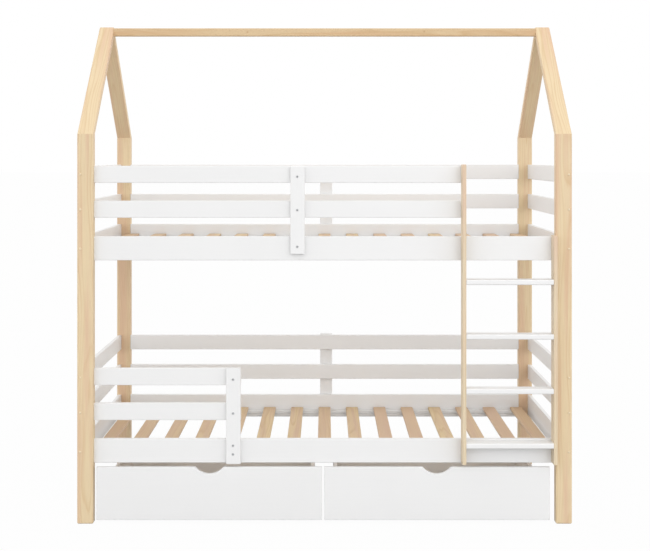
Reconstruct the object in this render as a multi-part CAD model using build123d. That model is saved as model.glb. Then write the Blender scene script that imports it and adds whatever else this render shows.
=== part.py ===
from build123d import *
from math import radians, tan
import os

# A house-shaped bunk bed with a ladder, guard rails, slats and two roll-out drawers.
# Millimetres, +Z up. The origin is on the floor, in the middle of the bed's outline, ladder included.
# X runs along the bed, and Y from the ladder side at -Y to the back.

# Outline, over the posts
bed_length = 2060.0
bed_depth = 996.0

# Posts and roof
post_width = 67.0  # along X
post_depth = 43.0  # along Y
post_height = 1623.0
post_round = 5.0
foot_chamfer = 4.0
roof_pitch = 45.0
ridge_depth = 35.0
ridge_height = 35.0
ridge_drop = 6.0  # from the peak of the rafters down to the top of the ridge beam

# Long rails, flush with the posts' inner faces
rail_thickness = 21.0
rail_chamfer = 2.0
side_rail_height = 100.0
guard_rail_height = 71.0
mid_gap = 78.0  # from a side rail up to the mid rail
top_gap = 75.0  # from the mid rail up to the top rail
side_rail_z = {"lower": 249.0, "upper": 1095.0}  # floor to the bottom of each bunk's side rails

# Short rails at the head and the foot
end_rail_thickness = 18.0
end_rail_inset = 4.0  # back from the posts' outer faces

# Guards and their battens
lower_guard_length = 613.0  # from the left post to the open end
batten_width = 60.0
batten_thickness = 20.0
upper_batten_x = -112.5
back_batten_x = 8.0
# How far each bunk's battens start above the side rail's bottom edge and end above the top rail
batten_reach = {"lower": (0.0, 4.0), "upper": (29.0, -4.0)}

# Slats and the cleats that carry them
slat_count = 15
slat_pitch = 135.5
slat_width = 58.0
slat_thickness = 12.0
slat_chamfer = 1.5
slat_end_gap = 5.0
slat_top = {"lower": 39.0, "upper": 53.0}  # above the bottom edge of the side rails
bearer_width = 29.0
bearer_height = 16.0
ledge_width = 44.0  # the wider strip that each bearer stands on
ledge_height = 11.0
cleat_end_gap = 23.0  # short of the end rails
cleat_chamfer = 1.5

# Ladder
ladder_opening = 361.0  # between the stiles
stile_thickness = 16.0
stile_depth = 61.0
stile_round = 3.0
stile_top_round = 2.5
stile_overhang = 6.0  # past the rails, at the bottom inwards and at the top outwards
rung_count = 4
rung_pitch = 225.5
rung_thickness = 21.5
rung_round = 5.0
first_rung_drop = 6.0  # from the top of the lower side rail down to the top of the first rung

# Drawers
drawer_front_width = 940.0
drawer_front_height = 220.0
drawer_front_thickness = 16.0
drawer_front_chamfer = 1.5
drawer_floor_gap = 16.0
drawer_gap = 8.0  # between the two fronts
drawer_pair_x = -6.0
drawer_box_width = 863.0
drawer_box_depth = 590.0
drawer_box_shift = 3.5  # of the middle of the box, to the right of the middle of its front
drawer_panel = 15.0
panel_chamfer = 1.0
drawer_side_height = 131.0
drawer_bottom_thickness = 10.0
drawer_bottom_z = 44.0
notch_chord = 117.0
notch_depth = 28.0
notch_lip_round = 12.0

# Fixed castors under the drawers
castor_inset_x = 70.0  # from the side of the box to the middle of the wheel
castor_inset_y = 55.0  # from the end of the box to the axle
castor_plate_x = 56.0
castor_plate_y = 44.0
castor_plate_chamfer = 6.0
castor_sheet = 2.0
cheek_top = 34.0
cheek_foot = 8.0  # round the axle
wheel_radius = 18.0
wheel_width = 16.0
wheel_side_gap = 0.5
axle_radius = 3.0
axle_clearance = 0.1

# Dowels and bolts, which are many and small, so they are drawn with eight sides
rod_sides = 8
end_dowel_radius = 5.0
end_dowel_grip = 40.0  # length in the end of a rail
guard_dowel_radius = 4.0
guard_dowel_grip = 25.0  # length in the post, and in the rail
bolt_radius = 3.5
bolt_head_radius = 6.5
bolt_head_depth = 4.0
bolt_grip = 42.0  # length in the end of a side rail
bolt_drop = 24.0  # below the middle of a side rail, clear of the end rails' dowels
nut_radius = 5.0
nut_length = 16.0
nut_from_end = 30.0

# Places that follow from the sizes
rail_setback = post_depth - rail_thickness
ladder_proud = stile_depth - rail_setback
front_y = (ladder_proud - bed_depth) / 2
back_y = front_y + bed_depth
post_inner_x = bed_length / 2 - post_width
end_rail_inner_x = bed_length / 2 - end_rail_inset - end_rail_thickness
end_rail_x = end_rail_inner_x + end_rail_thickness / 2
rail_y = {
    "front": (front_y + rail_setback, front_y + post_depth),
    "back": (back_y - post_depth, back_y - rail_setback),
}
right_stile_x = post_inner_x - stile_thickness / 2
left_stile_x = right_stile_x - ladder_opening - stile_thickness
bunks = ("lower", "upper")
sides = {"left": -1, "right": 1}


def rail_levels(bunk):
    """Bottom and top of a bunk's side, mid and top rails."""
    side = side_rail_z[bunk]
    mid = side + side_rail_height + mid_gap
    top = mid + guard_rail_height + top_gap
    return {
        "side": (side, side + side_rail_height),
        "mid": (mid, mid + guard_rail_height),
        "top": (top, top + guard_rail_height),
    }


def bar(grain, x, y, z, arris, chamfered=True):
    """A planed bar that fills three spans, with its edges along the grain chamfered or rounded."""
    low, high = Vector(x[0], y[0], z[0]), Vector(x[1], y[1], z[1])
    size, middle = high - low, (low + high) / 2
    if grain == "x":
        start, across, along = Vector(low.X, middle.Y, middle.Z), (0, 1, 0), (1, 0, 0)
        width, height, length = size.Y, size.Z, size.X
    elif grain == "y":
        start, across, along = Vector(middle.X, low.Y, middle.Z), (0, 0, 1), (0, 1, 0)
        width, height, length = size.Z, size.X, size.Y
    else:
        start, across, along = Vector(middle.X, middle.Y, low.Z), (1, 0, 0), (0, 0, 1)
        width, height, length = size.X, size.Y, size.Z
    ease = chamfer if chamfered else fillet
    sheet = ease(Rectangle(width, height).vertices(), arris)
    return extrude(Plane(start, x_dir=across, z_dir=along) * sheet, amount=length)


def centred(middle, width):
    """The span of a width about its middle."""
    return (middle - width / 2, middle + width / 2)


def mirrored_span(side, near, far):
    """A span along X at a distance from the middle of the bed, on the left or the right."""
    return (near, far) if side == "right" else (-far, -near)


# Dowels and bolts, which are also the tools that cut their own holes
def rod(radius, start, end):
    """A thin rod from one point to another."""
    path = Vector(*end) - Vector(*start)
    return extrude(Plane(start, z_dir=path) * RegularPolygon(radius, rod_sides), amount=path.length)


def end_rail_dowels(side, bunk, levels, face):
    """The dowels driven through one post into the ends of a bunk's end rails."""
    x = sides[side] * end_rail_x
    outer_y, inward = (front_y, 1) if face == "front" else (back_y, -1)
    inner_y = outer_y + inward * (post_depth + end_dowel_grip)
    heights = [sum(rail_levels(bunk)[level]) / 2 for level in levels]
    return [rod(end_dowel_radius, (x, outer_y, z), (x, inner_y, z)) for z in heights]


def guard_rail_dowel(side, bunk, level, rail_y):
    """The blind dowel between a post and the end of a guard rail."""
    y, z = sum(rail_y) / 2, sum(rail_levels(bunk)[level]) / 2
    ends = [sides[side] * (post_inner_x + reach) for reach in (guard_dowel_grip, -guard_dowel_grip)]
    return rod(guard_dowel_radius, (ends[0], y, z), (ends[1], y, z))


def side_rail_bolt(side, bunk, rail_y):
    """The bolt through one post into the end of a side rail, its head let in flush."""
    y, z = sum(rail_y) / 2, sum(rail_levels(bunk)["side"]) / 2 - bolt_drop
    reaches = (bed_length / 2, bed_length / 2 - bolt_head_depth, post_inner_x - bolt_grip)
    face, neck, tip = [(sides[side] * reach, y, z) for reach in reaches]
    return rod(bolt_head_radius, face, neck) + rod(bolt_radius, neck, tip)


def nut_blank(side, bunk, rail_y):
    """The round of a barrel nut, let into the rear face of a side rail."""
    x = sides[side] * (post_inner_x - nut_from_end)
    z = sum(rail_levels(bunk)["side"]) / 2 - bolt_drop
    return rod(nut_radius, (x, rail_y[1], z), (x, rail_y[1] - nut_length, z))


def barrel_nut(side, bunk, rail_y):
    """The barrel nut that a side rail's bolt pulls on."""
    return nut_blank(side, bunk, rail_y) - side_rail_bolt(side, bunk, rail_y)


def guard_joints(bunk):
    """Where a bunk's guard rails meet a post: the front ones only at the left."""
    joints = [("left", "front"), ("left", "back"), ("right", "back")]
    return [(side, face, level) for side, face in joints for level in ("mid", "top")]


def post_fasteners(side, face):
    """Every dowel and bolt that enters one post."""
    fasteners = []
    for bunk in bunks:
        fasteners += end_rail_dowels(side, bunk, ("side", "mid", "top"), face)
        fasteners.append(side_rail_bolt(side, bunk, rail_y[face]))
        for joint_side, joint_face, level in guard_joints(bunk):
            if (joint_side, joint_face) == (side, face):
                fasteners.append(guard_rail_dowel(side, bunk, level, rail_y[face]))
    return fasteners


# Posts and roof
def post(side, face):
    """One corner post, drilled for its dowels and bolts."""
    y = (front_y, front_y + post_depth) if face == "front" else (back_y - post_depth, back_y)
    x = mirrored_span(side, post_inner_x, bed_length / 2)
    blank = bar("z", x, y, (0, post_height), post_round, chamfered=False)
    blank = chamfer(blank.faces().sort_by(Axis.Z)[0].edges(), foot_chamfer)
    return blank - post_fasteners(side, face)


def rafter(side, face):
    """One rafter, cut level on its post and mitred against its twin at the peak."""
    middle_y = (front_y + back_y) / 2
    foot_y, inward = (front_y, 1) if face == "front" else (back_y, -1)
    run = bed_depth / 2
    rise = tan(radians(roof_pitch))
    outline = Polyline(
        (foot_y, post_height),
        (foot_y + inward * post_depth, post_height),
        (middle_y, post_height + (run - post_depth) * rise),
        (middle_y, post_height + run * rise),
        close=True,
    )
    x = mirrored_span(side, post_inner_x, bed_length / 2)
    sheet = Plane((x[0], 0, 0), x_dir=(0, 1, 0), z_dir=(1, 0, 0)) * make_face(outline)
    timber = extrude(sheet, amount=post_width)
    slope = Vector(0, inward, rise).normalized()
    long_edges = timber.edges().filter_by(lambda edge: abs((edge % 0).dot(slope)) > 0.99)
    return fillet(long_edges, post_round)


def ridge_beam():
    """The beam between the two gable frames, under the peak."""
    top = post_height + bed_depth / 2 * tan(radians(roof_pitch)) - ridge_drop
    y = centred((front_y + back_y) / 2, ridge_depth)
    return bar("x", (-post_inner_x, post_inner_x), y, (top - ridge_height, top), rail_chamfer)


# Rails
def long_rail(bunk, level, face, right_end):
    """A rail along X from the left post."""
    return bar("x", (-post_inner_x, right_end), rail_y[face], rail_levels(bunk)[level], rail_chamfer)


def side_rail(bunk, face):
    """A side rail, drilled in both ends for its bolts and nuts."""
    rail = long_rail(bunk, "side", face, post_inner_x)
    tools = [side_rail_bolt(side, bunk, rail_y[face]) for side in sides]
    tools += [nut_blank(side, bunk, rail_y[face]) for side in sides]
    return rail - tools


def guard_rail(bunk, level, face, right_end=post_inner_x):
    """A mid or top rail, drilled in the ends that meet a post."""
    tools = [
        guard_rail_dowel(side, bunk, level, rail_y[face])
        for side, joint_face, joint_level in guard_joints(bunk)
        if (joint_face, joint_level) == (face, level)
    ]
    return long_rail(bunk, level, face, right_end) - tools


def end_rails(side, bunk, levels):
    """The rails between a front and a back post at one end of a bunk."""
    x = mirrored_span(side, end_rail_inner_x, end_rail_inner_x + end_rail_thickness)
    y = (front_y + post_depth, back_y - post_depth)
    dowels = end_rail_dowels(side, bunk, levels, "front") + end_rail_dowels(side, bunk, levels, "back")
    return [bar("y", x, y, rail_levels(bunk)[level], rail_chamfer) - dowels for level in levels]


def batten(bunk, middle_x, y):
    """An upright batten across the three rails of a bunk's side."""
    up, over = batten_reach[bunk]
    z = (side_rail_z[bunk] + up, rail_levels(bunk)["top"][1] + over)
    return bar("z", centred(middle_x, batten_width), y, z, rail_chamfer)


# Bunk bases
def slats(bunk):
    """The row of slats of one bunk."""
    top = side_rail_z[bunk] + slat_top[bunk]
    y = (front_y + post_depth + slat_end_gap, back_y - post_depth - slat_end_gap)
    middles = [(i - (slat_count - 1) / 2) * slat_pitch for i in range(slat_count)]
    z = (top - slat_thickness, top)
    return [bar("y", centred(x, slat_width), y, z, slat_chamfer) for x in middles]


def cleats(bunk):
    """The bearers on the inner faces of a bunk's side rails, under the slats, and the ledges below them."""
    bearer_top = side_rail_z[bunk] + slat_top[bunk] - slat_thickness
    ledge_top = bearer_top - bearer_height
    strips = {bearer_width: (ledge_top, bearer_top), ledge_width: (ledge_top - ledge_height, ledge_top)}
    reach = end_rail_inner_x - cleat_end_gap
    front_inner_y, back_inner_y = rail_y["front"][1], rail_y["back"][0]
    bars = []
    for width, z in strips.items():
        for y in ((front_inner_y, front_inner_y + width), (back_inner_y - width, back_inner_y)):
            bars.append(bar("x", (-reach, reach), y, z, cleat_chamfer))
    return bars


# Ladder
def stile(middle_x, top):
    """One side of the ladder, with its upper end rounded over."""
    y = (front_y - ladder_proud, front_y + rail_setback)
    z = (side_rail_z["lower"] + stile_overhang, top + stile_overhang)
    blank = bar("z", centred(middle_x, stile_thickness), y, z, stile_round, chamfered=False)
    return fillet(blank.faces().sort_by(Axis.Z)[-1].edges(), stile_top_round)


def rungs():
    """The steps between the stiles."""
    x = (left_stile_x + stile_thickness / 2, right_stile_x - stile_thickness / 2)
    y = (front_y - ladder_proud, front_y + rail_setback)
    first_top = rail_levels("lower")["side"][1] - first_rung_drop
    tops = [first_top + rung_pitch * i for i in range(rung_count)]
    return [bar("x", x, y, (top - rung_thickness, top), rung_round, chamfered=False) for top in tops]


# Drawers
def drawer_x(side):
    """The middle of a drawer front along X."""
    return drawer_pair_x + sides[side] * (drawer_front_width + drawer_gap) / 2


def box_x(side):
    """The middle of a drawer box along X."""
    return drawer_x(side) + drawer_box_shift


def drawer_front(side):
    """A drawer front with a finger notch in its top edge."""
    notch_radius = ((notch_chord / 2) ** 2 + notch_depth**2) / (2 * notch_depth)
    half_height = drawer_front_height / 2
    sheet = Rectangle(drawer_front_width, drawer_front_height)
    sheet -= Pos(0, half_height - notch_depth + notch_radius) * Circle(notch_radius)
    lips = sheet.vertices().filter_by(lambda v: abs(v.X) < notch_chord)
    sheet = fillet(lips, notch_lip_round)
    middle = (drawer_x(side), front_y + drawer_front_thickness, drawer_floor_gap + half_height)
    panel = extrude(Plane(middle, x_dir=(1, 0, 0), z_dir=(0, -1, 0)) * sheet, amount=drawer_front_thickness)
    return chamfer(panel.faces().sort_by(Axis.Y)[0].edges(), drawer_front_chamfer)


def drawer_box(side):
    """The bottom, the two sides and the back of a drawer."""
    x = centred(box_x(side), drawer_box_width)
    start = front_y + drawer_front_thickness
    y = (start, start + drawer_box_depth)
    floor = (drawer_bottom_z, drawer_bottom_z + drawer_bottom_thickness)
    wall = (floor[1], floor[1] + drawer_side_height)
    left = bar("y", (x[0], x[0] + drawer_panel), y, wall, panel_chamfer)
    right = bar("y", (x[1] - drawer_panel, x[1]), y, wall, panel_chamfer)
    back_x = (x[0] + drawer_panel, x[1] - drawer_panel)
    back = bar("x", back_x, (y[1] - drawer_panel, y[1]), wall, panel_chamfer)
    bottom = bar("y", x, y, floor, panel_chamfer)
    return bottom, [left, right], back


def castor_places(side):
    """The axle centres of a drawer's four castors, front pair first."""
    x_places = [box_x(side) + way * (drawer_box_width / 2 - castor_inset_x) for way in (-1, 1)]
    start = front_y + drawer_front_thickness
    y_places = [start + castor_inset_y, start + drawer_box_depth - castor_inset_y]
    return [(x, y, wheel_radius) for y in y_places for x in x_places]


def castor_bracket():
    """A folded bracket with its riveted axle, about the axle's centre."""
    plate_top = drawer_bottom_z - wheel_radius
    plate_z = (plate_top - castor_sheet, plate_top)
    plate_x, plate_y = centred(0, castor_plate_x), centred(0, castor_plate_y)
    bracket = bar("z", plate_x, plate_y, plate_z, castor_plate_chamfer)
    fold = Pos(0, sum(plate_z) / 2) * Rectangle(cheek_top, castor_sheet)
    cheek = make_hull(fold.edges() + RegularPolygon(cheek_foot, rod_sides).edges())
    inner = wheel_width / 2 + wheel_side_gap
    for start in (inner, -inner - castor_sheet):
        sheet = Plane((start, 0, 0), x_dir=(0, 1, 0), z_dir=(1, 0, 0)) * cheek
        bracket += extrude(sheet, amount=castor_sheet)
    return bracket + extrude(Plane.YZ.offset(-inner) * Circle(axle_radius), amount=2 * inner)


def castor_wheel():
    """A wheel about its axle."""
    ring = Circle(wheel_radius) - Circle(axle_radius + axle_clearance)
    return extrude(Plane.YZ.offset(-wheel_width / 2) * ring, amount=wheel_width)


# Every piece by name
parts = {"ridge_beam": [ridge_beam()]}

for face in rail_y:
    for side in sides:
        parts[f"{face}_{side}_post"] = [post(side, face)]
        parts[f"{face}_{side}_rafter"] = [rafter(side, face)]

guard_end = {
    "lower": -post_inner_x + lower_guard_length,
    "upper": left_stile_x + stile_thickness / 2,
}
guard_batten_x = {"lower": guard_end["lower"] - batten_width / 2, "upper": upper_batten_x}
front_batten_y = (rail_y["front"][0] - batten_thickness, rail_y["front"][0])
back_batten_y = (rail_y["back"][1], rail_y["back"][1] + batten_thickness)
for bunk in bunks:
    for face in rail_y:
        parts[f"{bunk}_{face}_side_rail"] = [side_rail(bunk, face)]
    for level in ("mid", "top"):
        parts[f"{bunk}_guard_{level}_rail"] = [guard_rail(bunk, level, "front", guard_end[bunk])]
    parts[f"{bunk}_back_guard_rails"] = [guard_rail(bunk, level, "back") for level in ("mid", "top")]
    parts[f"{bunk}_guard_batten"] = [batten(bunk, guard_batten_x[bunk], front_batten_y)]
    parts[f"{bunk}_back_batten"] = [batten(bunk, back_batten_x, back_batten_y)]
    for side in sides:
        parts[f"{bunk}_{side}_end_rail"] = end_rails(side, bunk, ("side",))
        parts[f"{bunk}_{side}_end_guard_rails"] = end_rails(side, bunk, ("mid", "top"))
    parts[f"{bunk}_slats"] = slats(bunk)
    parts[f"{bunk}_cleats"] = cleats(bunk)

parts["ladder_left_stile"] = [stile(left_stile_x, rail_levels("upper")["top"][1])]
parts["ladder_right_stile"] = [stile(right_stile_x, rail_levels("upper")["side"][1])]
parts["ladder_rungs"] = rungs()

for side in sides:
    bottom, side_panels, back = drawer_box(side)
    parts[f"{side}_drawer_front"] = [drawer_front(side)]
    parts[f"{side}_drawer_bottom"] = [bottom]
    parts[f"{side}_drawer_sides"] = side_panels
    parts[f"{side}_drawer_back"] = [back]
    places = castor_places(side)
    parts[f"{side}_drawer_castor_brackets"] = [Pos(*place) * castor_bracket() for place in places]
    for number, place in enumerate(places, 1):
        parts[f"{side}_drawer_wheel_{number}"] = [Pos(*place) * castor_wheel()]

rail_ends = [(side, bunk, rail_y[face]) for face in rail_y for side in sides for bunk in bunks]
parts["side_rail_bolts"] = [side_rail_bolt(*rail_end) for rail_end in rail_ends]
parts["barrel_nuts"] = [barrel_nut(*rail_end) for rail_end in rail_ends]
parts["guard_rail_dowels"] = [
    guard_rail_dowel(side, bunk, level, rail_y[face])
    for bunk in bunks
    for side, face, level in guard_joints(bunk)
]
parts["end_rail_dowels"] = [
    dowel
    for face in rail_y
    for side in sides
    for bunk in bunks
    for dowel in end_rail_dowels(side, bunk, ("side", "mid", "top"), face)
]

os.makedirs("parts", exist_ok=True)
for name, pieces in parts.items():
    group = Compound([solid for piece in pieces for solid in piece.solids()])
    group.label = name
    export_step(group, f"parts/{name}.step")
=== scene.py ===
"""House-shaped bunk bed: pine, white paint, dowels, bolts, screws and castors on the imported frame."""
import math

import bmesh
import bpy
from bpy.props import FloatProperty, FloatVectorProperty, IntProperty, PointerProperty
from bpy.types import Operator, Panel, PropertyGroup
from mathutils import Euler, Matrix, Vector


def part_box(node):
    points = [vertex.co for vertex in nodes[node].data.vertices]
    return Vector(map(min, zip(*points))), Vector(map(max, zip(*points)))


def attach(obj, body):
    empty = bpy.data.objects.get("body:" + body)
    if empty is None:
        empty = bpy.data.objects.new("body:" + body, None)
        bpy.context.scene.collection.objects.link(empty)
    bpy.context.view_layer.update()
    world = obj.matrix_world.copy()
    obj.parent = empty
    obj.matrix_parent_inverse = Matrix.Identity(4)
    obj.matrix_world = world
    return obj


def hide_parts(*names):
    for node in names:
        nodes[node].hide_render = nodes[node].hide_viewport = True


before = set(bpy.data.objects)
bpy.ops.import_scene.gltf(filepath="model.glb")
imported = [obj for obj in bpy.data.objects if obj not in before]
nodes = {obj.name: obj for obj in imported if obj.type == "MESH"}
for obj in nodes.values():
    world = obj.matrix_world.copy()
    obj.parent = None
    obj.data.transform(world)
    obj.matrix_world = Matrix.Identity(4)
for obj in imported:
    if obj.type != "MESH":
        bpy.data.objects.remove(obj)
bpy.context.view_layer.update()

bl_info = {
    "name": "House Bunk Bed",
    "version": (1, 0, 0),
    "blender": (4, 5, 0),
    "location": "3D View > Sidebar > House Bed",
    "description": "Finishes a house-shaped bunk bed and adds its dowels, bolts, screws and castors",
    "category": "Add Mesh",
}

# The numbers of the colour sockets on a Mix node
MIX_A, MIX_B, MIX_COLOUR = 6, 7, 2

# Turns that bring a timber's grain upright
ALONG_X, ALONG_Y, ALONG_Z = (0.0, -math.pi / 2, 0.0), (math.pi / 2, 0.0, 0.0), (0.0, 0.0, 0.0)
SLOPE_UP_BACK, SLOPE_UP_FRONT = (math.pi / 4, 0.0, 0.0), (-math.pi / 4, 0.0, 0.0)

BUNKS, SIDES, FACES = ("lower", "upper"), ("left", "right"), ("front", "back")
LONG_RAILS = ("front_side_rail", "back_side_rail", "guard_mid_rail", "guard_top_rail", "back_guard_rails")
OUTWARDS = {"left": -1, "right": 1, "front": -1, "back": 1}
WHEELS = (1, 2, 3, 4)

# Metres over the floor, read off the photograph
BATTEN_SCREW_HEIGHTS = {"lower": (0.600, 0.459, 0.325, 0.289), "upper": (1.445, 1.306, 1.153)}
PLUG_X, PLUG_HEIGHT = 0.984, 0.268
# The front screws stand a little left of the batten's middle
BATTEN_SCREW_SHIFT = -0.001
# Down from the side rail's top edge
LADDER_SCREW_DROPS = (0.018, 0.040)
# The ridge beam's knots: along it, up, and how wide
RIDGE_KNOTS = ((-0.352, 2.098, 0.006), (0.455, 2.100, 0.005))

# From a timber's middle to the heart line of its tree: along the bed, inwards and up.
# The left posts come from higher up the tree, so that they differ from the right ones
POST_HEARTS = {"left": (0.006, 0.03, 0.7), "right": (0.006, 0.03, 0.0)}
RAFTER_HEART, RIDGE_HEART, STILE_HEART = (-0.01, 0.03, -0.03), (0.0, 0.04, 0.0), (0.04, 0.01, 0.0)
# From the slats' undersides down to theirs
SLAT_HEART_DROP = 0.05


def linear(hex_colour):
    """The linear red, green and blue of an sRGB hex colour."""
    parts = [int(hex_colour[i : i + 2], 16) / 255 for i in (1, 3, 5)]
    return tuple(c / 12.92 if c <= 0.04045 else ((c + 0.055) / 1.055) ** 2.4 for c in parts)


def tone(name, hex_colour, description):
    """A colour setting with an sRGB default."""
    colour = linear(hex_colour)
    return FloatVectorProperty(
        name=name, description=description, subtype="COLOR", size=3, min=0.0, max=1.0, default=colour
    )


def length(name, default, description):
    """A length setting in metres."""
    return FloatProperty(
        name=name, description=description, default=default, min=0.0, unit="LENGTH", subtype="DISTANCE"
    )


def amount(name, default, description, unit="NONE"):
    """A plain setting."""
    return FloatProperty(name=name, description=description, default=default, unit=unit)


def location(name, default, description):
    """A place in metres."""
    return FloatVectorProperty(name=name, description=description, default=default, size=3, subtype="XYZ")


class BedFinishes(PropertyGroup):
    """Colours of the bed's finishes."""

    pine_early: tone("Pine, early wood", "#DAC5A1", "Pale part of each growth ring in the posts and rafters")
    pine_late: tone("Pine, late wood", "#C7A67A", "Dark part of each growth ring")
    pine_flush: tone("Pine, pink flush", "#D3B294", "Pinkish streaks along the grain")
    ridge_early: tone("Ridge, early wood", "#D0B68F", "Pale part of each growth ring in the ridge beam")
    ridge_late: tone("Ridge, late wood", "#BD9A6A", "Dark part of each growth ring in the ridge beam")
    ridge_flush: tone("Ridge, flush", "#C9A57D", "Warmer streaks in the ridge beam")
    stile_early: tone("Stile, early wood", "#D8C8AC", "Pale part of each growth ring in the ladder")
    stile_late: tone("Stile, late wood", "#C6AC85", "Dark part of each growth ring in the ladder")
    stile_flush: tone("Stile, pink flush", "#D4B89F", "Pinkish streaks in the ladder")
    slat_early: tone("Slat, early wood", "#D5BC8F", "Pale part of each growth ring in the slats")
    slat_late: tone("Slat, late wood", "#BE9A6A", "Dark part of each growth ring in the slats")
    slat_flush: tone("Slat, flush", "#CAA98C", "Warmer streaks in the slats")
    knot: tone("Knot", "#A97E52", "Small sound knots")
    white: tone("White paint", "#E3E3E3", "Satin paint on the rails, battens, rungs and drawer fronts")
    board: tone("Drawer board", "#EAE6E1", "Inside of the drawer boxes")
    dowel: tone("Beech dowel", "#E0D0B3", "Ends of the dowels in the posts")
    zinc: tone("Zinc plate", "#C6C8CA", "Screws, bolts, nuts and castor brackets")
    tyre: tone("Castor wheel", "#3A3A3C", "Moulded wheels of the drawers' castors")


class BedDetails(PropertyGroup):
    """Sizes of the small parts that the frame leaves plain."""

    ring_width: length("Growth ring", 0.006, "Width of one growth ring, drawn coarse so that it shows")
    screw_radius: length("Screw head radius", 0.0052, "Radius of the heads on the battens and side rails")
    screw_height: length("Screw head height", 0.0015, "How far these screw heads stand out")
    screw_socket: length("Screw socket radius", 0.00234, "Radius of the six-sided sockets in them")
    dowel_proud: length("Dowel proud", 0.0028, "How far the domed dowel ends stand out of the posts")
    dowel_cover: length("Dowel cover", 0.00005, "How far the dowels reach past their eight-sided holes")
    plug_radius: length("Plug radius", 0.005, "Radius of the plugs in the back posts")
    plug_depth: length("Plug depth", 0.008, "How deep these plugs sit")
    bolt_head: length("Bolt head", 0.004, "Depth of the bolts' heads")
    bolt_round: length("Bolt head round", 0.0006, "Rounding of the bolts' heads")
    shank_radius: length("Bolt shank radius", 0.0035, "Radius of the bolts' shanks")
    shank_round: length("Bolt shank round", 0.0008, "Rounding of the shanks' ends")
    bolt_bore: length("Nut bore radius", 0.0036, "Radius of the bore through each barrel nut")
    nut_round: length("Nut round", 0.0005, "Rounding of the barrel nuts' ends")
    socket_radius: length("Bolt socket radius", 0.0029, "Radius of the six-sided sockets in the bolts")
    socket_depth: length("Bolt socket depth", 0.0026, "Depth of these sockets")
    slot_width: length("Nut slot width", 0.0014, "Width of the screwdriver slots in the barrel nuts")
    slot_depth: length("Nut slot depth", 0.0015, "Depth of these slots")
    tread_round: length("Tread round", 0.0025, "Rounding of the wheels' treads")
    wheel_rim: length("Wheel rim", 0.0012, "Width of the flat rim of a wheel's side")
    dish_slope: length("Dish slope", 0.0008, "Width of the slope from the rim into the dish")
    dish_width: length("Dish width", 0.0065, "Width of the dish's flat ground")
    hub_slope: length("Hub slope", 0.0006, "Width of the slope from the dish up the hub")
    hub_depth: length("Hub depth", 0.0025, "How far the wheels' sides are dished")
    axle_radius: length("Axle radius", 0.003, "Radius of the castors' axles")
    wheel_bore: length("Wheel bore radius", 0.0031, "Radius of the wheels' bores, which clear the axles")
    wheel_play: length("Wheel play", 0.0005, "Between each side of a wheel and its bracket")
    sheet: length("Bracket sheet", 0.002, "Thickness of the castor brackets' steel")
    plate_corner: length("Bracket corner", 0.006, "Rounding of the brackets' corners")
    cheek_foot: length("Cheek foot", 0.008, "Radius of the cheeks round the axle")
    cheek_half: length("Cheek half width", 0.017, "Half the width of the cheeks at the plate")
    rivet_radius: length("Rivet radius", 0.0048, "Radius of the axles' rivet heads")
    rivet_height: length("Rivet height", 0.0014, "How far the rivet heads stand out")
    rivet_root: length("Rivet root", 0.0008, "How deep the rivet heads start in the cheeks")
    rivet_round: length("Rivet round", 0.0013, "Rounding of the rivet heads")
    plate_screw: length("Plate screw radius", 0.0038, "Radius of the brackets' screw heads")
    plate_head: length("Plate screw height", 0.0014, "How far these screw heads stand out")
    plate_socket: length("Plate screw socket", 0.0016, "Radius of their six-sided sockets")
    plate_screw_x: length("Plate screw X", 0.021, "From the middle of a bracket to its screws, along the bed")
    plate_screw_y: length("Plate screw Y", 0.014, "The same across the bed")
    head_sides: IntProperty(name="Head sides", description="Sides of each round head", default=32, min=12)


class BedStudio(PropertyGroup):
    """Camera and lights."""

    camera_distance: length("Camera distance", 4.946, "From the front faces of the posts to the camera")
    camera_height: length("Camera height", 1.5229, "Height of the camera over the floor")
    lens: amount("Lens", 65.83, "Focal length on a 36 mm wide sensor", unit="CAMERA")
    shift_x: amount("Shift X", 0.0007, "Sideways shift, in widths of the picture")
    shift_y: amount("Shift Y", -0.1808, "Downward look without tilting, in widths of the picture")
    key_power: amount("Key light", 52.0, "Power of the soft light", unit="POWER")
    key_size: length("Key light size", 3.0, "Side of the soft light")
    key_place: location("Key light place", (2.4, -6.6, 2.8), "Middle of the soft light")
    key_aim: location("Key light aim", (0.0, 0.0, 0.9), "The point that the soft light faces")
    sky_low: amount("Low sky", 1.78, "Strength of the white surround at eye level")
    sky_high: amount("High sky", 1.08, "Strength of the white surround overhead")
    floor: tone("Floor", "#B7B7B7", "The floor as it lights the bed")
    floor_white: amount("Floor white", 0.975, "Share of plain white in the floor as the camera sees it")
    floor_size: length("Floor size", 240.0, "Side of the floor")
    floor_drop: length("Floor drop", 0.0005, "From the posts' feet down to the floor")


# Materials
def add(tree, kind, inputs=None, **settings):
    """Add a shader node, change its settings, and fill or link its inputs."""
    node = tree.nodes.new(kind)
    for name, value in settings.items():
        setattr(node, name, value)
    for socket, value in (inputs or {}).items():
        if isinstance(value, bpy.types.NodeSocket):
            tree.links.new(value, node.inputs[socket])
        else:
            node.inputs[socket].default_value = value
    return node


def new_material(name):
    """An empty material with its node tree."""
    material = bpy.data.materials.new(name)
    material.use_nodes = True
    material.node_tree.nodes.clear()
    return material, material.node_tree


def rgba(colour):
    """A colour with full alpha."""
    return (*colour, 1.0)


def coat(tree, colour, sheen, relief, depth, strength, ior=1.5):
    """A lacquer, paint or plastic with its colour, its sheen and its fine relief."""
    bump = add(tree, "ShaderNodeBump", {"Height": relief, "Distance": depth, "Strength": strength})
    sockets = {"Base Color": colour, "Roughness": sheen, "Normal": bump.outputs[0], "IOR": ior}
    shader = add(tree, "ShaderNodeBsdfPrincipled", sockets)
    add(tree, "ShaderNodeOutputMaterial", {"Surface": shader.outputs[0]})


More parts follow.
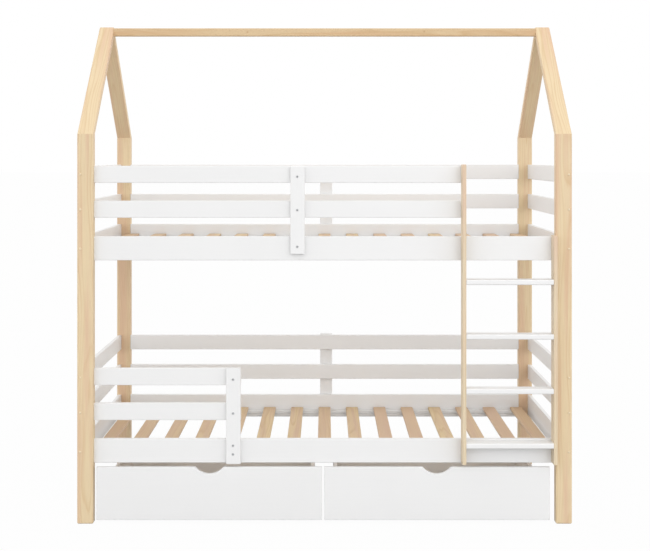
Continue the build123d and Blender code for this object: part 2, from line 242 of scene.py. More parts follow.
def shown_rays(tree):
    """One for the rays that show a surface to the camera, straight, mirrored or through glass."""
    path = add(tree, "ShaderNodeLightPath").outputs
    sockets = {0: path["Is Camera Ray"], 1: path["Is Glossy Ray"]}
    shown = add(tree, "ShaderNodeMath", sockets, operation="MAXIMUM").outputs[0]
    sockets = {0: shown, 1: path["Is Transmission Ray"]}
    return add(tree, "ShaderNodeMath", sockets, operation="MAXIMUM").outputs[0]


def along_grain(tree, coords, turn, heart):
    """Coordinates whose Z runs along the grain and whose Z axis is the heart of the tree."""
    turned = Euler(turn).to_matrix() @ Vector(heart)
    sockets = {"Vector": coords, "Rotation": turn, "Location": -turned}
    return add(tree, "ShaderNodeMapping", sockets).outputs[0]


def each_in_row(tree, coords, pitch):
    """Coordinates that start afresh on each piece of a row along X, and a chance number for each piece."""
    place = add(tree, "ShaderNodeSeparateXYZ", {0: coords}).outputs
    number = add(tree, "ShaderNodeMath", {0: place["X"], 1: pitch}, operation="DIVIDE").outputs[0]
    number = add(tree, "ShaderNodeMath", {0: number}, operation="ROUND").outputs[0]
    start = add(tree, "ShaderNodeMath", {0: number, 1: -pitch}, operation="MULTIPLY").outputs[0]
    across = add(tree, "ShaderNodeMath", {0: place["X"], 1: start}, operation="ADD").outputs[0]
    own = add(tree, "ShaderNodeCombineXYZ", {0: across, 1: place["Y"], 2: place["Z"]}).outputs[0]
    chance = add(tree, "ShaderNodeTexWhiteNoise", {"W": number}, noise_dimensions="1D").outputs
    # Up to 5 cm and 3 cm across the tree and 7 m along it
    sockets = {0: chance["Color"], 1: (0.05, 7.0, 0.03)}
    jump = add(tree, "ShaderNodeVectorMath", sockets, operation="MULTIPLY").outputs[0]
    own = add(tree, "ShaderNodeVectorMath", {0: own, 1: jump}, operation="ADD").outputs[0]
    return own, chance["Value"]


def streaks(tree, grain, across, along, detail=2.0):
    """Noise drawn out along the grain, with a number of features to a metre each way."""
    drawn_out = add(tree, "ShaderNodeMapping", {"Vector": grain, "Scale": (across, across, along)})
    sockets = {"Vector": drawn_out.outputs[0], "Scale": 1.0, "Detail": detail}
    return add(tree, "ShaderNodeTexNoise", sockets).outputs


def growth_rings(tree, grain, ring_width, early, late):
    """The colour of growth rings round a heart line, and how far through its year each point grew."""
    # The heart wanders by up to 3 cm in each 77 cm, which draws the arches on a flat-sawn face
    wander = streaks(tree, grain, 5.0, 1.3, 1.0)["Color"]
    sway = add(tree, "ShaderNodeVectorMath", {0: wander, 1: (0.5, 0.5, 0.5)}, operation="SUBTRACT").outputs[0]
    sway = add(tree, "ShaderNodeVectorMath", {0: sway, 1: (0.06, 0.06, 0.0)}, operation="MULTIPLY").outputs[0]
    bent = add(tree, "ShaderNodeVectorMath", {0: grain, 1: sway}, operation="ADD").outputs[0]
    flat = add(tree, "ShaderNodeVectorMath", {0: bent, 1: (1.0, 1.0, 0.0)}, operation="MULTIPLY").outputs[0]
    radius = add(tree, "ShaderNodeVectorMath", {0: flat}, operation="LENGTH").outputs["Value"]
    rings = add(tree, "ShaderNodeMath", {0: radius, 1: ring_width}, operation="DIVIDE").outputs[0]
    # Good and bad runs of years, 22 mm wide
    sockets = {0: streaks(tree, grain, 45.0, 2.0, 1.0)["Fac"], 1: 1.6, 2: rings}
    rings = add(tree, "ShaderNodeMath", sockets, operation="MULTIPLY_ADD").outputs[0]
    year = add(tree, "ShaderNodeMath", {0: rings}, operation="FRACT").outputs[0]
    ring = add(tree, "ShaderNodeValToRGB", {0: year})
    ramp = ring.color_ramp.elements
    ramp[0].color = ramp[1].color = rgba(early)
    for position, colour in ((0.5, early), (0.86, late)):
        ramp.new(position).color = rgba(colour)
    # The rings come and go over bands 56 mm wide
    sockets = {0: streaks(tree, grain, 18.0, 0.8, 1.0)["Fac"], 1: 0.3, 2: 0.7, 3: 0.25, 4: 0.8}
    contrast = add(tree, "ShaderNodeMapRange", sockets).outputs[0]
    sockets = {0: contrast, MIX_A: rgba(early), MIX_B: ring.outputs[0]}
    return add(tree, "ShaderNodeMix", sockets, data_type="RGBA").outputs[MIX_COLOUR], year


def knotted(tree, coords, grain, colour, knots):
    """A timber's colour with small sound knots in it."""
    dark_tone = bpy.context.scene.bed_finishes.knot
    for centre, size in knots:
        # Ripples 11 mm wide give each knot its uneven outline
        sockets = {0: coords, 1: centre}
        away = add(tree, "ShaderNodeVectorMath", sockets, operation="DISTANCE").outputs["Value"]
        sockets = {0: streaks(tree, grain, 90.0, 60.0)["Fac"], 1: size, 2: away}
        edge = add(tree, "ShaderNodeMath", sockets, operation="MULTIPLY_ADD").outputs[0]
        dark = add(tree, "ShaderNodeMapRange", {0: edge, 1: size * 1.6, 2: size * 0.6, 3: 0.0, 4: 0.6})
        sockets = {0: dark.outputs[0], MIX_A: colour, MIX_B: rgba(dark_tone)}
        colour = add(tree, "ShaderNodeMix", sockets, data_type="RGBA").outputs[MIX_COLOUR]
    return colour


def softwood(name, early, late, flush, turn=ALONG_Z, heart=(0.0, 0.0, 0.0), pitch=0.0, knots=()):
    """Planed pine under clear matt lacquer, which shows its rings and warm streaks with a soft sheen."""
    material, tree = new_material(name)
    coords = add(tree, "ShaderNodeTexCoord").outputs["Object"]
    own, chance = each_in_row(tree, coords, pitch) if pitch else (coords, None)
    grain = along_grain(tree, own, turn, heart)
    body, year = growth_rings(tree, grain, bpy.context.scene.bed_details.ring_width, early, late)

    # Broad warm streaks, 3 cm wide and 60 cm long
    sockets = {0: streaks(tree, grain, 34.0, 1.6)["Fac"], 1: 0.42, 2: 0.68, 3: 0.0, 4: 0.85}
    warm = add(tree, "ShaderNodeMapRange", sockets).outputs[0]
    sockets = {0: warm, MIX_A: body, MIX_B: rgba(flush)}
    body = add(tree, "ShaderNodeMix", sockets, data_type="RGBA").outputs[MIX_COLOUR]
    if pitch:
        # Each board of a row is more or less warm as a whole
        share = add(tree, "ShaderNodeMath", {0: chance, 1: 0.85}, operation="MULTIPLY").outputs[0]
        sockets = {0: share, MIX_A: body, MIX_B: rgba(flush)}
        body = add(tree, "ShaderNodeMix", sockets, data_type="RGBA").outputs[MIX_COLOUR]

    # Fibres 1.25 mm wide and 6 cm long, drawn coarser than real ones so that they show
    fibre = streaks(tree, grain, 800.0, 16.0)["Fac"]
    shade = add(tree, "ShaderNodeMapRange", {0: fibre, 1: 0.25, 2: 0.75, 3: 0.94, 4: 1.04}).outputs[0]
    sockets = {0: 1.0, MIX_A: body, MIX_B: shade}
    body = add(tree, "ShaderNodeMix", sockets, data_type="RGBA", blend_type="MULTIPLY").outputs[MIX_COLOUR]
    colour = knotted(tree, coords, grain, body, knots)
    sheen = add(tree, "ShaderNodeMapRange", {0: fibre, 1: 0.2, 2: 0.8, 3: 0.42, 4: 0.56}).outputs[0]
    relief = add(tree, "ShaderNodeMath", {0: year, 1: 0.4, 2: fibre}, operation="MULTIPLY_ADD").outputs[0]
    coat(tree, colour, sheen, relief, 0.0002, 0.5)
    return material


def satin_paint(name, colour, turn):
    """Sprayed satin paint on planed pine, with a fine orange peel and the grain just telling through it."""
    material, tree = new_material(name)
    coords = add(tree, "ShaderNodeTexCoord").outputs["Object"]
    # The grain tells in lines 4 mm wide and 20 cm long, the peel is 1.1 mm wide and the clouds 33 cm
    telling = streaks(tree, along_grain(tree, coords, turn, (0.0, 0.0, 0.0)), 260.0, 5.0)["Fac"]
    peel = add(tree, "ShaderNodeTexNoise", {"Vector": coords, "Scale": 900.0, "Detail": 1.0}).outputs["Fac"]
    cloud = add(tree, "ShaderNodeTexNoise", {"Vector": coords, "Scale": 3.0, "Detail": 2.0}).outputs["Fac"]
    mottle = add(tree, "ShaderNodeMath", {0: telling, 1: 0.5, 2: cloud}, operation="MULTIPLY_ADD").outputs[0]
    shade = add(tree, "ShaderNodeMapRange", {0: mottle, 1: 0.5, 2: 1.0, 3: 0.985, 4: 1.005}).outputs[0]
    sockets = {0: 1.0, MIX_A: rgba(colour), MIX_B: shade}
    tint = add(tree, "ShaderNodeMix", sockets, data_type="RGBA", blend_type="MULTIPLY").outputs[MIX_COLOUR]
    sheen = add(tree, "ShaderNodeMapRange", {0: peel, 1: 0.3, 2: 0.7, 3: 0.34, 4: 0.46}).outputs[0]
    relief = add(tree, "ShaderNodeMath", {0: telling, 1: 0.6, 2: peel}, operation="MULTIPLY_ADD").outputs[0]
    coat(tree, tint, sheen, relief, 0.00002, 0.4)
    return material


def zinc_plate(name, colour):
    """Bright zinc plate on pressed steel, whose 4 mm clouds change its sheen a little."""
    material, tree = new_material(name)
    coords = add(tree, "ShaderNodeTexCoord").outputs["Object"]
    cloud = add(tree, "ShaderNodeTexNoise", {"Vector": coords, "Scale": 260.0, "Detail": 3.0}).outputs["Fac"]
    shade = add(tree, "ShaderNodeMapRange", {0: cloud, 1: 0.3, 2: 0.7, 3: 0.92, 4: 1.0}).outputs[0]
    sockets = {0: 1.0, MIX_A: rgba(colour), MIX_B: shade}
    tint = add(tree, "ShaderNodeMix", sockets, data_type="RGBA", blend_type="MULTIPLY").outputs[MIX_COLOUR]
    sheen = add(tree, "ShaderNodeMapRange", {0: cloud, 1: 0.3, 2: 0.7, 3: 0.26, 4: 0.42}).outputs[0]
    sockets = {"Base Color": tint, "Roughness": sheen, "Metallic": 1.0}
    shader = add(tree, "ShaderNodeBsdfPrincipled", sockets)
    add(tree, "ShaderNodeOutputMaterial", {"Surface": shader.outputs[0]})
    return material


def moulded_nylon(name, colour):
    """Moulded nylon with the faint 0.7 mm grain of its mould, which keeps its sheen dull."""
    material, tree = new_material(name)
    coords = add(tree, "ShaderNodeTexCoord").outputs["Object"]
    sockets = {"Vector": coords, "Scale": 1400.0, "Detail": 2.0}
    pebble = add(tree, "ShaderNodeTexNoise", sockets).outputs["Fac"]
    sheen = add(tree, "ShaderNodeMapRange", {0: pebble, 1: 0.3, 2: 0.7, 3: 0.42, 4: 0.6}).outputs[0]
    coat(tree, rgba(colour), sheen, pebble, 0.0001, 0.4, ior=1.53)
    return material


def dress_node(name, material):
    """Give a CAD node a better material."""
    mesh = nodes[name].data
    if not mesh.materials:
        mesh.materials.append(material)
    for index in range(len(mesh.materials)):
        mesh.materials[index] = material


# Modelling
def deselect():
    """Deselect every object."""
    if bpy.context.object and bpy.context.object.mode != "OBJECT":
        bpy.ops.object.mode_set(mode="OBJECT")
    bpy.ops.object.select_all(action="DESELECT")


def pick(piece):
    """Select one object alone and make it the active one."""
    deselect()
    piece.select_set(True)
    bpy.context.view_layer.objects.active = piece


def edit(piece, wanted, kind="FACE"):
    """Open a piece in edit mode with only its wanted faces or edges selected."""
    pick(piece)
    bpy.ops.object.mode_set(mode="EDIT")
    bpy.ops.mesh.select_mode(type=kind)
    bpy.ops.mesh.select_all(action="DESELECT")
    mesh = bmesh.from_edit_mesh(piece.data)
    for element in mesh.faces if kind == "FACE" else mesh.edges:
        element.select_set(wanted(element))
    bmesh.update_edit_mesh(piece.data)


def round_over(piece, wanted, offset, segments, kind="FACE"):
    """Round over a piece's wanted edges, or the edges round its wanted faces."""
    edit(piece, wanted, kind)
    bpy.ops.mesh.bevel(offset=offset, segments=segments)
    bpy.ops.object.mode_set(mode="OBJECT")


def wrap(pieces, name):
    """The hull round several pieces."""
    whole = join(pieces, name)
    edit(whole, lambda face: True)
    bpy.ops.mesh.convex_hull()
    bpy.ops.object.mode_set(mode="OBJECT")
    return whole


def cylinder(radius, start, end, sides):
    """A cylinder from one point to another, with its place applied."""
    deselect()
    path = Vector(end) - Vector(start)
    bpy.ops.mesh.primitive_cylinder_add(
        vertices=sides,
        radius=radius,
        depth=path.length,
        location=(Vector(start) + Vector(end)) / 2,
        rotation=path.to_track_quat("Z", "Y").to_euler(),
    )
    bpy.ops.object.transform_apply(location=True, rotation=True, scale=True)
    return bpy.context.object


def block(low, high):
    """A cuboid between two corners, with its place applied."""
    deselect()
    low, high = Vector(low), Vector(high)
    bpy.ops.mesh.primitive_cube_add(size=1.0, location=(low + high) / 2, scale=high - low)
    bpy.ops.object.transform_apply(location=True, rotation=True, scale=True)
    return bpy.context.object


def cut(piece, tool):
    """Cut a tool's shape out of a piece and throw the tool away."""
    pick(piece)
    cutter = piece.modifiers.new("cut", "BOOLEAN")
    cutter.operation, cutter.solver, cutter.object = "DIFFERENCE", "EXACT", tool
    bpy.ops.object.modifier_apply(modifier=cutter.name)
    bpy.data.objects.remove(tool)


def smooth(piece, angle=35.0):
    """Shade a piece smooth across its shallow edges."""
    pick(piece)
    bpy.ops.object.shade_smooth_by_angle(angle=math.radians(angle))


def copies(piece, matrices):
    """Copies of a piece, each with its own mesh, moved into place."""
    made = []
    for matrix in matrices:
        copy = bpy.data.objects.new(piece.name, piece.data.copy())
        copy.data.transform(matrix)
        bpy.context.scene.collection.objects.link(copy)
        made.append(copy)
    bpy.data.objects.remove(piece)
    return made


def join(pieces, name):
    """Join pieces into one."""
    deselect()
    for piece in pieces:
        piece.select_set(True)
    bpy.context.view_layer.objects.active = pieces[0]
    if len(pieces) > 1:
        bpy.ops.object.join()
    whole = bpy.context.object
    whole.name = whole.data.name = name
    return whole


def hand_over(piece, material, slot, body, *stands_for):
    """Give a finished piece its material, its body and the CAD nodes that it stands for. The slot argument is
    not used.
    """
    piece.data.materials.clear()
    piece.data.materials.append(material)
    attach(piece, body)
    if stands_for:
        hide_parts(*stands_for)


def facing(direction, threshold=0.95):
    """A test for faces that look along a direction or against it."""
    way = Vector(direction)
    return lambda face: abs(face.normal.dot(way)) > threshold


def on_top(face):
    """A test for faces that look up."""
    return face.normal.z > 0.95


def underneath(face):
    """A test for faces that look down."""
    return face.normal.z < -0.95


def upright(edge):
    """A test for edges that stand up."""
    return abs((edge.verts[1].co - edge.verts[0].co).normalized().z) > 0.9


def round_head(radius, height, socket, sides):
    """A low domed head on the origin, facing up, with a six-sided socket."""
    head = cylinder(radius, (0, 0, -height), (0, 0, height), sides)
    round_over(head, on_top, height * 0.8, 4)
    cut(head, cylinder(socket, (0, 0, 0), (0, 0, 3 * height), 6))
    smooth(head)
    return head


def standing(point, direction):
    """A matrix that puts the origin on a point and turns up to a direction."""
    return Matrix.Translation(point) @ Vector(direction).to_track_quat("Z", "Y").to_matrix().to_4x4()


def loose_solids(name):
    """The (lowest, highest) corners of each separate solid in a CAD node."""
    copy = nodes[name].data.copy()
    mesh = bmesh.new()
    mesh.from_mesh(copy)
    bpy.data.meshes.remove(copy)
    bmesh.ops.remove_doubles(mesh, verts=mesh.verts, dist=1e-6)
    seen, boxes = set(), []
    for seed in mesh.verts:
        if seed in seen:
            continue
        island, edge = {seed}, [seed]
        while edge:
            for link in edge.pop().link_edges:
                for vertex in link.verts:
                    if vertex not in island:
                        island.add(vertex)
                        edge.append(vertex)
        seen |= island
        low = Vector(min(v.co[i] for v in island) for i in range(3))
        high = Vector(max(v.co[i] for v in island) for i in range(3))
        boxes.append((low, high))
    mesh.free()
    return boxes


def barrel_nut(details, low, high, rows):
    """A barrel nut along Y, slotted at the back, with a bore along X for the nearest row of bolts."""
    middle = (low + high) / 2
    start, end = Vector((middle.x, low.y, middle.z)), Vector((middle.x, high.y, middle.z))
    nut = cylinder((high.z - low.z) / 2, start, end, details.head_sides)
    round_over(nut, facing((0, 1, 0)), details.nut_round, 2)
    width, half_slot = high.x - low.x, details.slot_width / 2
    slot_low = end - Vector((width, details.slot_depth, half_slot))
    cut(nut, block(slot_low, end + Vector((width, details.slot_depth, half_slot))))
    bore = Vector((middle.x, min(rows, key=lambda row: abs(row - middle.y)), middle.z))
    way = Vector((width, 0, 0))
    cut(nut, cylinder(details.bolt_bore, bore - way, bore + way, 20))
    return nut


def castor_wheel(details, low, high):
    """A wheel that fills a box, with its axle along X."""
    middle, radius = (low + high) / 2, (high.z - low.z) / 2
    half = Vector(((high.x - low.x) / 2, 0, 0))
    wheel = cylinder(radius, middle - half, middle + half, 48)
    round_over(wheel, facing((1, 0, 0)), details.tread_round, 4)
    edit(wheel, facing((1, 0, 0), 0.999))
    bpy.ops.mesh.inset(thickness=details.wheel_rim, depth=0.0)
    bpy.ops.mesh.inset(thickness=details.dish_slope, depth=-details.hub_depth)
    bpy.ops.mesh.inset(thickness=details.dish_width, depth=0.0)
    bpy.ops.mesh.inset(thickness=details.hub_slope, depth=details.hub_depth)
    bpy.ops.object.mode_set(mode="OBJECT")
    cut(wheel, cylinder(details.wheel_bore, middle - 2 * half, middle + 2 * half, 24))
    smooth(wheel)
    return wheel


def castor_bracket(details, plate_low, plate_high, wheel_low, wheel_high):
    """A bracket round a wheel whose middle is on the origin."""
    sheet = details.sheet
    half_x, half_y = (plate_high.x - plate_low.x) / 2, (plate_high.y - plate_low.y) / 2
    inner = (wheel_high.x - wheel_low.x) / 2 + details.wheel_play
    outer = inner + sheet
    top = plate_high.z - (wheel_low.z + wheel_high.z) / 2
    under = top - sheet

    plate = block((-half_x, -half_y, under), (half_x, half_y, top))
    round_over(plate, upright, details.plate_corner, 5, kind="EDGE")
    pieces = [plate, cylinder(details.axle_radius, (-inner, 0, 0), (inner, 0, 0), 24)]
    for start in (inner, -outer):
        end, half = start + sheet, details.cheek_half
        foot = cylinder(details.cheek_foot, (start, 0, 0), (end, 0, 0), 32)
        fold = block((start, -half, under - sheet), (end, half, under))
        pieces.append(wrap([foot, fold], "cheek"))

    start, end = (0, 0, -details.rivet_root), (0, 0, details.rivet_height)
    rivet = cylinder(details.rivet_radius, start, end, details.head_sides)
    round_over(rivet, on_top, details.rivet_round, 4)
    pieces += copies(rivet, [standing((way * outer, 0, 0), (way, 0, 0)) for way in (-1, 1)])
    corners = [(x * details.plate_screw_x, y * details.plate_screw_y) for x in (-1, 1) for y in (-1, 1)]
    screw = round_head(details.plate_screw, details.plate_head, details.plate_socket, 24)
    pieces += copies(screw, [standing((x, y, under), (0, 0, -1)) for x, y in corners])
    bracket = join(pieces, "bracket")
    smooth(bracket)
    return bracket


class BED_OT_studio(Operator):
    """Pale floor, soft light and a level camera at the photograph's place"""

    bl_idname = "house_bed.studio"
    bl_label = "Studio"

    def execute(self, context):
        studio = context.scene.bed_studio
        deselect()
        bpy.ops.mesh.primitive_plane_add(size=studio.floor_size, location=(0.0, 0.0, -studio.floor_drop))
        floor = context.object
        floor.name = "floor"
        material, tree = new_material("studio_floor")
        sockets = {0: shown_rays(tree), 1: studio.floor_white}
        share = add(tree, "ShaderNodeMath", sockets, operation="MULTIPLY").outputs[0]
        pale = add(tree, "ShaderNodeBsdfDiffuse", {"Color": rgba(studio.floor)}).outputs[0]
        white = add(tree, "ShaderNodeEmission", {"Color": (1.0, 1.0, 1.0, 1.0), "Strength": 1.0}).outputs[0]
        shader = add(tree, "ShaderNodeMixShader", {0: share, 1: pale, 2: white})
        add(tree, "ShaderNodeOutputMaterial", {"Surface": shader.outputs[0]})
        floor.data.materials.append(material)

        world = bpy.data.worlds.new("studio")
        context.scene.world = world
        world.use_nodes = True
        tree = world.node_tree
        tree.nodes.clear()
        way = add(tree, "ShaderNodeTexCoord").outputs["Generated"]
        up = add(tree, "ShaderNodeSeparateXYZ", {0: way}).outputs["Z"]
        glow = add(tree, "ShaderNodeMapRange", {0: up, 3: studio.sky_low, 4: studio.sky_high}).outputs[0]
        power = add(tree, "ShaderNodeMapRange", {0: shown_rays(tree), 3: glow, 4: 1.0}).outputs[0]
        sky = add(tree, "ShaderNodeBackground", {"Color": (1.0, 1.0, 1.0, 1.0), "Strength": power})
        add(tree, "ShaderNodeOutputWorld", {"Surface": sky.outputs[0]})

        deselect()
        place = Vector(studio.key_place)
        aim = (Vector(studio.key_aim) - place).to_track_quat("-Z", "Y").to_euler()
        bpy.ops.object.light_add(type="AREA", location=place, rotation=aim)
        key = context.object
        key.name = "key_light"
        key.data.shape, key.data.size, key.data.energy = "SQUARE", studio.key_size, studio.key_power

        deselect()
        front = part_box("front_left_post")[0].y
        place = (0.0, front - studio.camera_distance, studio.camera_height)
        bpy.ops.object.camera_add(location=place, rotation=(math.pi / 2, 0.0, 0.0))
        camera = context.object
        camera.data.sensor_width, camera.data.lens = 36.0, studio.lens
        camera.data.shift_x, camera.data.shift_y = studio.shift_x, studio.shift_y
        context.scene.camera = camera
        context.scene.view_settings.view_transform = "Standard"
        return {"FINISHED"}


class BED_OT_pine(Operator):
    """Lacquered pine on the posts, rafters, ridge beam and ladder stiles"""

    bl_idname = "house_bed.pine"
    bl_label = "Pine"

    def execute(self, context):
        finishes = context.scene.bed_finishes
        tones = (finishes.pine_early, finishes.pine_late, finishes.pine_flush)
        ridge_tones = (finishes.ridge_early, finishes.ridge_late, finishes.ridge_flush)
        stile_tones = (finishes.stile_early, finishes.stile_late, finishes.stile_flush)
        for face in FACES:
            for side in SIDES:
                post, rafter = f"{face}_{side}_post", f"{face}_{side}_rafter"
                low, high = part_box(post)
                # Flat-sawn timber, whose heart line lies just past its inner face
                along, inwards, up = POST_HEARTS[side]
                heart = (low + high) / 2 + Vector((along, -OUTWARDS[face] * inwards, up))
                dress_node(post, softwood(f"pine_{post}", *tones, ALONG_Z, heart))
                low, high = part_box(rafter)
                slope = SLOPE_UP_BACK if face == "front" else SLOPE_UP_FRONT
                along, inwards, up = RAFTER_HEART
                heart = (low + high) / 2 + Vector((along, -OUTWARDS[face] * inwards, up))
                dress_node(rafter, softwood(f"pine_{rafter}", *tones, slope, heart))
        low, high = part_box("ridge_beam")
        knots = [((x, low.y, z), size) for x, z, size in RIDGE_KNOTS]
        heart = (low + high) / 2 + Vector(RIDGE_HEART)
        dress_node("ridge_beam", softwood("pine_ridge", *ridge_tones, ALONG_X, heart, 0.0, knots))
        for side in SIDES:
            stile = f"ladder_{side}_stile"
            low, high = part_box(stile)
            heart = (low + high) / 2 + Vector(STILE_HEART)
            dress_node(stile, softwood(f"pine_{stile}", *stile_tones, ALONG_Z, heart))
        return {"FINISHED"}


class BED_OT_slats(Operator):
    """Plain planed pine on the slats, each from another board"""

    bl_idname = "house_bed.slats"
    bl_label = "Slats"

    def execute(self, context):
        finishes = context.scene.bed_finishes
        tones = (finishes.slat_early, finishes.slat_late, finishes.slat_flush)
        for bunk in BUNKS:
            slats = sorted(loose_solids(f"{bunk}_slats"), key=lambda box: box[0].x)
            pitch = slats[1][0].x - slats[0][0].x
            heart = (0.0, 0.0, slats[0][0].z - SLAT_HEART_DROP)
            dress_node(f"{bunk}_slats", softwood(f"pine_{bunk}_slats", *tones, ALONG_Y, heart, pitch))
        return {"FINISHED"}


class BED_OT_paint(Operator):
    """White satin paint on the rails, battens, cleats and rungs"""

    bl_idname = "house_bed.paint"
    bl_label = "White paint"

    def execute(self, context):
        white = context.scene.bed_finishes.white
        across = satin_paint("paint_long_rails", white, ALONG_X)
        ends = satin_paint("paint_end_rails", white, ALONG_Y)
        battens = satin_paint("paint_battens", white, ALONG_Z)
        for bunk in BUNKS:
            for part in (*LONG_RAILS, "cleats"):
                dress_node(f"{bunk}_{part}", across)
            for side in SIDES:
                dress_node(f"{bunk}_{side}_end_rail", ends)
                dress_node(f"{bunk}_{side}_end_guard_rails", ends)
            dress_node(f"{bunk}_guard_batten", battens)
            dress_node(f"{bunk}_back_batten", battens)
        dress_node("ladder_rungs", across)
        return {"FINISHED"}


class BED_OT_drawers(Operator):
    """White drawer fronts and pale boards in the boxes"""

    bl_idname = "house_bed.drawers"
    bl_label = "Drawers"

    def execute(self, context):
        finishes = context.scene.bed_finishes
        front = satin_paint("paint_drawer_fronts", finishes.white, ALONG_X)
        board = satin_paint("drawer_board", finishes.board, ALONG_X)
        for side in SIDES:
            dress_node(f"{side}_drawer_front", front)
            for part in ("bottom", "sides", "back"):
                dress_node(f"{side}_drawer_{part}", board)
        return {"FINISHED"}


class BED_OT_dowels(Operator):
    """Round dowels with domed ends in place of the plain ones"""

    bl_idname = "house_bed.dowels"
    bl_label = "Dowels"

    def execute(self, context):
        details, finishes = context.scene.bed_details, context.scene.bed_finishes
        beech = softwood("beech_dowel", finishes.dowel, finishes.pine_late, finishes.dowel, ALONG_Y)
        for node in ("end_rail_dowels", "guard_rail_dowels"):
            rods = []
            for low, high in loose_solids(node):
                middle = (low + high) / 2
                if node == "end_rail_dowels":
                    outwards = Vector((0, math.copysign(1, middle.y), 0))
                    reach = outwards * (high.y - low.y) / 2
                    start, end = middle - reach, middle + reach + outwards * details.dowel_proud
                else:
                    reach = Vector(((high.x - low.x) / 2, 0, 0))
                    start, end = middle - reach, middle + reach
                radius = (high.z - low.z) / 2 + details.dowel_cover
                rod = cylinder(radius, start, end, details.head_sides)
                round_over(rod, facing((end - start).normalized()), details.dowel_proud, 4)
                rods.append(rod)
            whole = join(rods, f"{node}_round")
            smooth(whole)
            hand_over(whole, beech, "dowel_wood", "bed_frame", node)
        return {"FINISHED"}


class BED_OT_screws(Operator):
    """Screw heads on the battens' faces, and on the side rails behind the ladder"""

    bl_idname = "house_bed.screws"
    bl_label = "Screws"

    def execute(self, context):
        details, finishes = context.scene.bed_details, context.scene.bed_finishes
        zinc = zinc_plate("zinc_screws", finishes.zinc)
        places = []
        for bunk in BUNKS:
            low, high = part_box(f"{bunk}_guard_batten")
            x = (low.x + high.x) / 2 + BATTEN_SCREW_SHIFT
            places += [standing((x, low.y, z), (0, -1, 0)) for z in BATTEN_SCREW_HEIGHTS[bunk]]
            low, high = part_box(f"{bunk}_back_batten")
            x = (low.x + high.x) / 2
            places += [standing((x, high.y, z), (0, 1, 0)) for z in BATTEN_SCREW_HEIGHTS[bunk]]
            low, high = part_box(f"{bunk}_front_side_rail")
            drops = [high.z - drop for drop in LADDER_SCREW_DROPS]
            for side in SIDES:
                start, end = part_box(f"ladder_{side}_stile")
                x = (start.x + end.x) / 2
                places += [standing((x, high.y, z), (0, 1, 0)) for z in drops]
        sizes = (details.screw_radius, details.screw_height, details.screw_socket)
        head = round_head(*sizes, details.head_sides)
        whole = join(copies(head, places), "face_screws")
        hand_over(whole, zinc, "zinc_steel", "bed_frame")
        return {"FINISHED"}


class BED_OT_bolts(Operator):
    """Side rail bolts with six-sided sockets, and the slotted barrel nuts that they pull on"""

    bl_idname = "house_bed.bolts"
    bl_label = "Bolts and nuts"

    def execute(self, context):
        details, finishes = context.scene.bed_details, context.scene.bed_finishes
        zinc = zinc_plate("zinc_bolts", finishes.zinc)
        boxes = loose_solids("side_rail_bolts")
        low, high = boxes[0]
        head_radius, reach = (high.z - low.z) / 2, high.x - low.x
        head = cylinder(head_radius, (0, 0, -details.bolt_head), (0, 0, 0), details.head_sides)
        round_over(head, on_top, details.bolt_round, 3)
        cut(head, cylinder(details.socket_radius, (0, 0, -details.socket_depth), (0, 0, 0.001), 6))
        shank = cylinder(details.shank_radius, (0, 0, -reach), (0, 0, -details.bolt_head), 20)
        round_over(shank, underneath, details.shank_round, 2)
        bolt = join([head, shank], "bolt")
        places = []
        for low, high in boxes:
            middle = (low + high) / 2
            outwards = math.copysign(1, middle.x)
            outer = middle + Vector((outwards * (high.x - low.x) / 2, 0, 0))
            places.append(standing(outer, (outwards, 0, 0)))
        whole = join(copies(bolt, places), "rail_bolts")
        smooth(whole)
        hand_over(whole, zinc, "zinc_steel", "bed_frame", "side_rail_bolts")

        # The bolts lie in one row at the front and one at the back
        front, back = min(low.y for low, high in boxes), max(high.y for low, high in boxes)
        rows = (front + head_radius, back - head_radius)
        nuts = [barrel_nut(details, low, high, rows) for low, high in loose_solids("barrel_nuts")]
        whole = join(nuts, "slotted_nuts")
        smooth(whole)
        hand_over(whole, zinc, "zinc_steel", "bed_frame", "barrel_nuts")
        return {"FINISHED"}


class BED_OT_plugs(Operator):
    """Wooden plugs low on the front faces of the back posts"""

    bl_idname = "house_bed.plugs"
    bl_label = "Post plugs"

    def execute(self, context):
        details, finishes = context.scene.bed_details, context.scene.bed_finishes
        beech = softwood("beech_plug", finishes.dowel, finishes.pine_late, finishes.dowel, ALONG_Y)
        places = []
        for side in SIDES:
            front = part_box(f"back_{side}_post")[0].y
            places.append(standing((OUTWARDS[side] * PLUG_X, front, PLUG_HEIGHT), (0, -1, 0)))
        start, end = (0, 0, -details.plug_depth), (0, 0, details.dowel_proud)
        plug = cylinder(details.plug_radius, start, end, details.head_sides)
        round_over(plug, on_top, details.dowel_proud, 4)
        whole = join(copies(plug, places), "post_plugs")
        smooth(whole)
        hand_over(whole, beech, "dowel_wood", "bed_frame")
        return {"FINISHED"}


class BED_OT_wheels(Operator):
    """Castor wheels with rounded treads and dished sides"""

    bl_idname = "house_bed.wheels"
    bl_label = "Castor wheels"

    def execute(self, context):
        details, finishes = context.scene.bed_details, context.scene.bed_finishes
        nylon = moulded_nylon("wheel_nylon", finishes.tyre)
        for side in SIDES:
            for number in WHEELS:
                node = f"{side}_drawer_wheel_{number}"
                wheel = castor_wheel(details, *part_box(node))
                wheel.name = wheel.data.name = f"{side}_castor_wheel_{number}"
                hand_over(wheel, nylon, "castor_plastic", f"{side}_wheel_{number}", node)
        return {"FINISHED"}


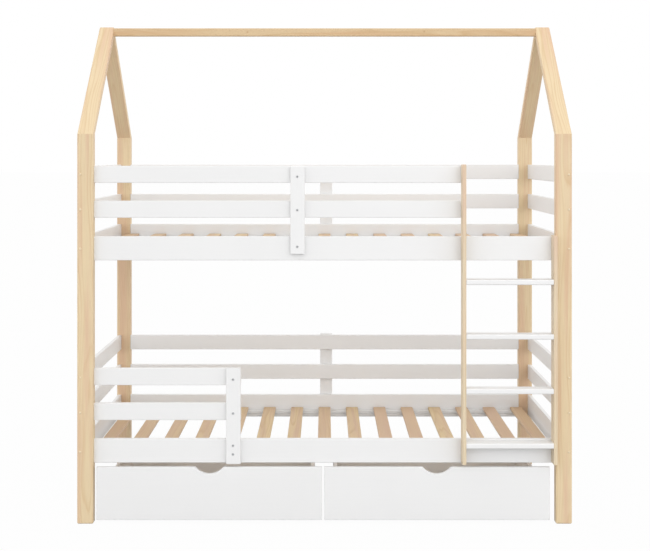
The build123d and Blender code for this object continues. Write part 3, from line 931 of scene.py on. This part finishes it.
class BED_OT_brackets(Operator):
    """Folded castor brackets with round-footed cheeks, riveted axles and screws"""

    bl_idname = "house_bed.brackets"
    bl_label = "Castor brackets"

    def execute(self, context):
        details, finishes = context.scene.bed_details, context.scene.bed_finishes
        zinc = zinc_plate("zinc_brackets", finishes.zinc)
        for side in SIDES:
            node = f"{side}_drawer_castor_brackets"
            wheels = [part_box(f"{side}_drawer_wheel_{number}") for number in WHEELS]
            bracket = castor_bracket(details, *loose_solids(node)[0], *wheels[0])
            places = [Matrix.Translation((low + high) / 2) for low, high in wheels]
            whole = join(copies(bracket, places), f"{side}_castor_forks")
            hand_over(whole, zinc, "zinc_steel", f"{side}_drawer", node)
        return {"FINISHED"}


class BED_PT_pieces(Panel):
    """Lists the bed's pieces in the sidebar"""

    bl_idname = "BED_PT_pieces"
    bl_label = "House Bunk Bed"
    bl_space_type = "VIEW_3D"
    bl_region_type = "UI"
    bl_category = "House Bed"

    def draw(self, context):
        for operator in OPERATORS:
            self.layout.operator(operator.bl_idname)


OPERATORS = (
    BED_OT_studio,
    BED_OT_pine,
    BED_OT_slats,
    BED_OT_paint,
    BED_OT_drawers,
    BED_OT_dowels,
    BED_OT_screws,
    BED_OT_bolts,
    BED_OT_plugs,
    BED_OT_wheels,
    BED_OT_brackets,
)
CLASSES = (BedFinishes, BedDetails, BedStudio, *OPERATORS, BED_PT_pieces)


def register():
    """Register the classes and put their settings on the scene."""
    for each in CLASSES:
        bpy.utils.register_class(each)
    bpy.types.Scene.bed_finishes = PointerProperty(type=BedFinishes)
    bpy.types.Scene.bed_details = PointerProperty(type=BedDetails)
    bpy.types.Scene.bed_studio = PointerProperty(type=BedStudio)


def unregister():
    """Take the settings off the scene and unregister the classes."""
    del bpy.types.Scene.bed_finishes
    del bpy.types.Scene.bed_details
    del bpy.types.Scene.bed_studio
    for each in reversed(CLASSES):
        bpy.utils.unregister_class(each)


def main():
    """Make the bed."""
    register()
    for operator in OPERATORS:
        group, name = operator.bl_idname.split(".")
        getattr(getattr(bpy.ops, group), name)()


if __name__ == "__main__":
    main()
